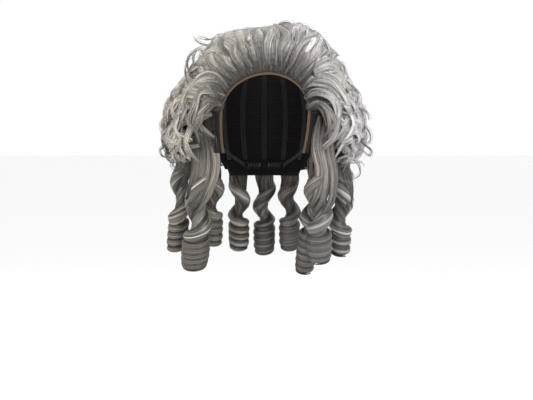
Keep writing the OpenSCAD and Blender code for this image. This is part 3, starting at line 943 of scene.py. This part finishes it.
# Stray curls at the outline, seen from in front: places in x and z, how many strands, shade
STRAYS = [
    ([(-80, 34), (-90, 46), (-93, 60), (-88, 72), (-78, 76), (-72, 70)], 9, 4.5),
    ([(-78, 44), (-86, 40), (-90, 52), (-84, 64)], 8, 4.5),
    ([(-96, 2), (-108, 10), (-112, 22), (-107, 30)], 8, 4),
    ([(-108, -34), (-118, -38), (-127, -46), (-124, -54), (-116, -52), (-116, -44)], 9, 3.2),
    ([(-60, 92), (-72, 92), (-82, 96)], 8, 4.5),
    ([(-58, 86), (-72, 84), (-84, 90), (-88, 96)], 6, 4.5),
    ([(96, 30), (106, 32), (114, 26), (118, 18)], 9, 5.5),
    ([(104, 0), (118, 4), (126, 0), (130, -8)], 9, 5.5),
    ([(108, -30), (121, -38), (131, -46), (129, -54)], 11, 5.5),
    ([(104, -50), (116, -64), (118, -76), (110, -82)], 7, 5),
    ([(100, -60), (110, -76), (108, -90), (100, -92)], 6, 5),
    ([(-84, 24), (-93, 38), (-96, 52), (-92, 66), (-84, 70)], 7, 5),
    ([(-76, 50), (-86, 62), (-84, 76), (-74, 82)], 7, 5),
    ([(-90, 0), (-104, 6), (-113, 4), (-114, -4), (-106, -4)], 6, 4.5),
    ([(-98, -10), (-112, -4), (-122, -10), (-121, -20), (-112, -18)], 6, 4.5),
    ([(-104, -26), (-116, -24), (-124, -30), (-122, -40), (-113, -42), (-110, -34)], 5, 4),
    ([(-104, -40), (-114, -44), (-120, -52), (-113, -60), (-104, -56), (-104, -48)], 8, 3.2),
    ([(-98, -46), (-108, -54), (-112, -64), (-104, -70), (-98, -64)], 7, 3),
    ([(14, 98), (20, 108), (30, 108), (30, 98)], 6, 5),
    ([(86, 40), (98, 34), (106, 22), (104, 10)], 8, 6),
    ([(100, 10), (112, 6), (120, -2), (118, -12)], 8, 6),
    ([(104, -12), (118, -14), (128, -22), (130, -34), (122, -40)], 9, 6),
    ([(106, -40), (118, -44), (128, -52), (131, -50)], 8, 6),
    ([(92, -58), (108, -62), (118, -60), (124, -66)], 6, 6),
    ([(78, -70), (96, -82), (106, -86), (104, -94)], 5, 5.5),
    ([(-68, 84), (-60, 96), (-50, 98), (-48, 90)], 5, 5),
]


def stray(places, count, tone):
    """A thin curl that leaves the dressed hair: it starts inside it and its far places stand off it."""
    first = seen_at(places[0][0] * MM, places[0][1] * MM, 0.9)
    knots = [first] + [np.array([x * MM, first[1] + 6 * MM * k, z * MM]) for k,
        (x, z) in enumerate(places[1:], 1)]
    wisp(frizz[side_of(places)], spline(knots, 24), count, tone - 1.7, radius=1.15)


for row in STRAYS:
    stray(*row)


def halo(store, patch, count, tone):
    """Short single hairs that lift off the outline."""
    for az, el in scatter(*patch, count):
        p = lay(heading(np.array(az), np.array(el)), 0.98)
        path, out = flow_path(p, combed_side, rng.uniform(18, 38) * MM, 12, (0.97, 1.02),
            bend=(rng.normal(0, 0.8), rng.normal(0, 2.2)))
        path = path + out * (rng.uniform(1.5, 6.0) * MM * smooth(0, 1, np.linspace(0, 1, 12)))[:, None]
        wisp(store, path, rng.integers(2, 5), tone, spread=0.8, radius=0.6)


# the left halo is a little darker than the right: painted shade
halo(sides["left"], (-132, -50, -30, 60), 60, 5)
halo(sides["right"], (50, 132, -30, 60), 60, 5.5)
halo(crown, (-180, 180, 52, 84), 40, 5)

# ---- hair under the locks


CAP_ROOM = 2.3 * MM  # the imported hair's inside stands off the middle of the cap by this much


def under_layer():
    """A closed shell of packed hair over the cap, which the locks lie on; its dark colour is painted shade
    under the locks.
    """
    az = np.concatenate([
        np.linspace(-180, -FACE_AZ, 46), np.linspace(2 - FACE_AZ, FACE_AZ - 2, 45),
        np.linspace(FACE_AZ, 180, 46)[:-1]
    ])
    rows = 30
    t = np.clip(np.abs(az) / FACE_AZ, 0, 1)
    arch = 33.5 * np.sqrt(1 - t**2)
    bottom = np.where(np.abs(az) < FACE_AZ, arch, np.interp(np.abs(az), [FACE_AZ, 54, 60, 127, 180],
        [0, -6, -26, -36, -36]))
    v = np.linspace(0, 1, rows)[:, None]
    el = bottom + (89.0 - bottom) * v
    azs = np.broadcast_to(az, el.shape) + np.where(np.abs(az) < FACE_AZ, LEAN * (el + 15) / 45, 0) * (1 - v)
    d = heading(azs, el)
    lift = 0.42 * smooth(0, 0.2, v) + 0.08
    bumps = 1.2 * MM * np.sin(np.radians(azs) * 34 + 1.5 * np.sin(el * 0.14)) * smooth(0, 0.2, v)
    outer = d * (mix(cap_radius(d), outer_radius(d), lift) + bumps)[..., None]
    inner = d * (cap_radius(d) + CAP_ROOM)[..., None]
    ids = np.arange(len(az) * rows).reshape(rows, -1)
    n = ids.size
    a, b = ids[:-1], ids[1:]
    an, bn = np.roll(a, -1, 1), np.roll(b, -1, 1)
    rim, rim_n = ids[0], np.roll(ids[0], -1)
    quads = np.concatenate([
        np.stack([a, an, bn, b], -1).reshape(-1, 4),
        np.stack([a, b, bn, an], -1).reshape(-1, 4) + n,
        np.stack([rim_n, rim, rim + n, rim_n + n], -1),
    ])
    middle = unit(d[-1].mean(0))
    tops = [middle * np.linalg.norm(layer[-1], axis=-1).mean() for layer in (outer, inner)]
    verts = np.concatenate([outer.reshape(-1, 3), inner.reshape(-1, 3), tops])
    last, last_n = ids[-1], np.roll(ids[-1], -1)
    tris = np.concatenate([
        np.stack([last, last_n, np.full(len(az), 2 * n)], -1),
        np.stack([last_n + n, last + n, np.full(len(az), 2 * n + 1)], -1),
    ])
    return make_mesh("hair_under_layer", verts, quads, tris, np.zeros(len(quads) + len(tris)),
        [PACKED_IN_SHADE["cool"]])


def stretched_strap(side):
    """The elastic strap on one side, between its sewn end and the hook that slides: a finer copy of the
    imported solid with the strap's look, which takes the solid's place.
    """
    solid, hook = frame["nodes"][f"adjust_strap_{side}"], frame["nodes"][f"strap_hook_{side}"]
    me = solid.data.copy()
    me.transform(solid.matrix_world)
    me.materials.clear()
    me.materials.append(CAP_LOOKS["adjust_strap"])
    piece = bpy.data.objects.new(f"stretched_strap_{side}", me)
    bpy.context.scene.collection.objects.link(piece)
    cut = bmesh.new()
    cut.from_mesh(me)
    bmesh.ops.subdivide_edges(cut, edges=cut.edges, cuts=1, use_grid_fill=True)
    cut.to_mesh(me)
    cut.free()
    points = np.array([v.co for v in me.vertices])
    centre = np.mean([hook.matrix_world @ v.co for v in hook.data.vertices], 0)
    away = np.linalg.norm(points - centre, axis=1)
    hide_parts(solid.name)
    tuple(points[away.argmax()])
    tuple(points[away.argmin()])
    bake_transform(piece)


under = under_layer()
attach(under, "cap")


LEG, LEG_EL = 0.2, -24  # share of the lace that each straight leg takes, and the height angle of its foot


def edge(u, k):
    """A point on the cap at the lace: up one leg, over the arch and down the other as u goes from 0 to 1."""
    if LEG < u < 1 - LEG:
        return hairline(180 * (u - LEG) / 0.6, k)
    el = LEG_EL * (1 - min(u, 1 - u) / LEG)
    az = LEAN * (el + 15) / 45 + math.copysign(42 + k, u - 0.5)
    d = heading(np.array(az), np.array(el))
    return d * cap_radius(d)


def lace_roots(count=900):
    """Fine dark hairs knotted one by one through the lace, combed up at the front and back at the temples;
    their dark shade, darkest at the knot, is partly the knots and partly painted shade along the hairline.
    """
    store = Hair("lace_root_hairs", "warm")
    s = np.linspace(0, 1, 7)
    for u in np.linspace(0.01, 0.99, count):
        k = rng.uniform(0.9, 3.6)
        length = rng.uniform(9, 22) * MM
        flow = combed_back if LEG < u < 1 - LEG else combed_side
        path, _ = flow_path(edge(u, k), flow, length, 7, (0.03, 0.08, 0.22, 0.42),
            bend=(rng.normal(0, 0.3), rng.normal(0, 0.4)))
        path = path + unit(path[0]) * 0.6 * MM
        store.strands(path[None], 0.15 * MM * along(s, [1, 1, 0.5]), along(s, [0, 0.4, 1.8]))
    piece = store.build()
    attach(piece, "cap")


lace_roots()

for stores, solid, slot in (
    (front.values(), "hair_pompadour", "hair_pompadour"),
    ([crown], "hair_crown", "hair_crown"),
    (back.values(), "hair_back", "hair_back"),
    ([sides["left"]], "hair_side_left", "hair_side_warm"),
    ([sides["right"]], "hair_side_right", "hair_side_cool"),
    ([frizz["left"]], "hair_side_left", "hair_side_warm"),
    ([frizz["right"]], "hair_side_right", "hair_side_cool"),
):
    for store in stores:
        piece = store.build()
        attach(piece, "cap")
        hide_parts(solid)

# ---- looks of the cap


def netting(name, thread, gap, cell):
    """Stretch net: a web of threads round cells, cell millimetres across, with the gaps lower and in their
    own colour; on the black nets the darker gaps are painted shade seen through the holes.
    """
    m, nt, p = new_material(name, 0.75)
    web = node(nt, "ShaderNodeTexVoronoi", Scale=1.0, Randomness=0.35)
    web.feature = "DISTANCE_TO_EDGE"
    nt.links.new(stretched(nt, (1000 / cell,) * 3), web.inputs["Vector"])
    nt.links.new(ramp(nt, web.outputs["Distance"], [(0.05, thread), (0.16, gap)]), p.inputs["Base Color"])
    nt.links.new(ramp(nt, web.outputs["Distance"], [(0.02, (1, 1, 1)), (0.2, (0, 0, 0))]),
        bump_height(nt, p, 0.3 * MM))
    return m


def ribbed(name, light, dark, pitch, direction, rough=0.7, sheen=0.0):
    """Woven or knitted rows, pitch millimetres apart, with uneven yarn; the low furrows between the rows are
    darker, partly yarn tone and partly painted shade.
    """
    m, nt, p = new_material(name, rough)
    rows = node(nt, "ShaderNodeTexWave", Scale=1.0, Distortion=1.2, Detail=2.0)
    rows.bands_direction = direction
    # a wave repeats every 2 pi over 20 units of its vector
    nt.links.new(stretched(nt, (314 / pitch,) * 3), rows.inputs["Vector"])
    nt.links.new(ramp(nt, rows.outputs["Fac"], [(0.15, dark), (0.8, light)]), p.inputs["Base Color"])
    nt.links.new(rows.outputs["Fac"], bump_height(nt, p, 0.25 * MM))
    p.inputs["Sheen Weight"].default_value = sheen
    return m


def velvet(name, light, dark):
    m, nt, p = new_material(name, 0.9)
    pile = node(nt, "ShaderNodeTexNoise", Scale=1.0, Detail=4.0)
    nt.links.new(stretched(nt, (2200, 2200, 2200)), pile.inputs["Vector"])
    nt.links.new(ramp(nt, pile.outputs["Fac"], [(0.35, dark), (0.65, light)]), p.inputs["Base Color"])
    nt.links.new(pile.outputs["Fac"], bump_height(nt, p, 0.2 * MM))
    p.inputs["Sheen Weight"].default_value = 0.03
    p.inputs["Sheen Roughness"].default_value = 0.4
    return m


def brushed_steel(name):
    m, nt, p = new_material(name, 0.3)
    scratch = node(nt, "ShaderNodeTexNoise", Scale=1.0, Detail=5.0)
    nt.links.new(stretched(nt, (300, 300, 4000)), scratch.inputs["Vector"])
    nt.links.new(ramp(nt, scratch.outputs["Fac"], [(0.3, (0.5, 0.5, 0.52)), (0.7, (0.72, 0.72, 0.74))]),
        p.inputs["Base Color"])
    nt.links.new(ramp(nt, scratch.outputs["Fac"], [(0.2, (0.22,) * 3), (0.8, (0.42,) * 3)]),
        p.inputs["Roughness"])
    p.inputs["Metallic"].default_value = 1.0
    return m


# the second black is darker: the velvet's own deeper pile, and painted shade in the nets' gaps and the ribs'
# furrows
BLACK, DEEP_BLACK_AND_SHADE = (0.022, 0.019, 0.019), (0.006, 0.005, 0.005)
CAP_LOOKS = {
    "crown_net": netting("stretch_net_black", BLACK, DEEP_BLACK_AND_SHADE, 2.2),
    "front_net": netting("stretch_net_fine", BLACK, DEEP_BLACK_AND_SHADE, 1.6),
    "side_panel": netting("side_net_black", BLACK, DEEP_BLACK_AND_SHADE, 2.8),
    "rear_panel": ribbed("rear_mesh_black", BLACK, DEEP_BLACK_AND_SHADE, 1.8, "Z"),
    "front_lace": netting("lace_tan", (0.075, 0.05, 0.032), (0.175, 0.12, 0.078), 0.9),
    "front_band": velvet("velvet_black", BLACK, DEEP_BLACK_AND_SHADE),
    "ear_binding": velvet("velvet_binding", BLACK, DEEP_BLACK_AND_SHADE),
    "nape_band": velvet("velvet_nape", BLACK, DEEP_BLACK_AND_SHADE),
    "elastic_ribbons": ribbed("elastic_rib_black", (0.045, 0.042, 0.042), DEEP_BLACK_AND_SHADE, 0.9, "Z", 0.6, 0.3),
    "weft_row": ribbed("weft_stitching", (0.22, 0.19, 0.17), (0.05, 0.04, 0.035), 1.3, "DIAGONAL"),
    "ear_tab": ribbed("tab_cloth", BLACK, DEEP_BLACK_AND_SHADE, 0.8, "DIAGONAL", 0.8, 0.05),
    "ear_stay": brushed_steel("stay_steel_brushed"),
    "hook_ladder": ribbed("ladder_tape_woven", BLACK, DEEP_BLACK_AND_SHADE, 0.7, "DIAGONAL", 0.7, 0.2),
    "strap_hook": brushed_steel("hook_steel_brushed"),
    "adjust_strap": ribbed("strap_elastic_rib", (0.045, 0.042, 0.042), DEEP_BLACK_AND_SHADE, 0.8, "X", 0.6, 0.3),
}
for name, ob in frame["nodes"].items():
    for start, look in CAP_LOOKS.items():
        if name.startswith(start):
            for i in range(max(1, len(ob.material_slots))):
                if len(ob.data.materials) == 0:
                    ob.data.materials.append(look)
                ob.material_slots[i].material = look

for side in ("left", "right"):
    stretched_strap(side)

# ---- studio

FLOOR_Z = -0.46


def paper(name, colour):
    """Plain studio paper with the faintest mottling."""
    m, nt, p = new_material(name, 0.8)
    grain = node(nt, "ShaderNodeTexNoise", Scale=3.0)
    shade = [c * 0.99 for c in colour]
    nt.links.new(ramp(nt, grain.outputs["Fac"], [(0.4, shade), (0.6, colour)]), p.inputs["Base Color"])
    return m


def studio():
    bpy.ops.mesh.primitive_plane_add(size=60, location=(0, 0, FLOOR_Z))
    floor = bpy.context.object
    floor.name = "floor"
    floor.data.materials.append(paper("floor_paper", (0.95, 0.95, 0.95)))
    world = bpy.data.worlds.new("studio")
    bpy.context.scene.world = world
    world.use_nodes = True
    world.node_tree.nodes["Background"].inputs["Color"].default_value = (1, 1, 1, 1)
    world.node_tree.nodes["Background"].inputs["Strength"].default_value = 1.0
    for name, place, size, power, colour in (
        ("key", (0.8, -1.2, 1.3), 0.9, 25, (1.0, 0.99, 0.98)),
        ("fill", (-1.3, -1.1, 0.4), 1.2, 7, (1.0, 0.96, 0.9)),
        ("rim", (0.5, 1.2, 1.0), 1.0, 4, (0.95, 0.97, 1.0)),
    ):
        light = bpy.data.lights.new(name, "AREA")
        light.size = size
        light.energy = power
        light.color = colour
        ob = bpy.data.objects.new(name, light)
        ob.location = place
        ob.rotation_euler = (Vector((0, 0, -0.03)) - Vector(place)).to_track_quat("-Z", "Y").to_euler()
        bpy.context.scene.collection.objects.link(ob)
    bpy.context.scene.view_settings.view_transform = "Standard"


def camera():
    cam = bpy.data.cameras.new("camera")
    cam.sensor_width = 36
    cam.lens = 91.6
    ob = bpy.data.objects.new("camera", cam)
    ob.location = (0.003, -1.69, -0.030)
    target = Vector((0.003, -0.09, -0.104))
    ob.rotation_euler = (target - ob.location).to_track_quat("-Z", "Y").to_euler()
    bpy.context.scene.collection.objects.link(ob)
    bpy.context.scene.camera = ob


studio()
camera()
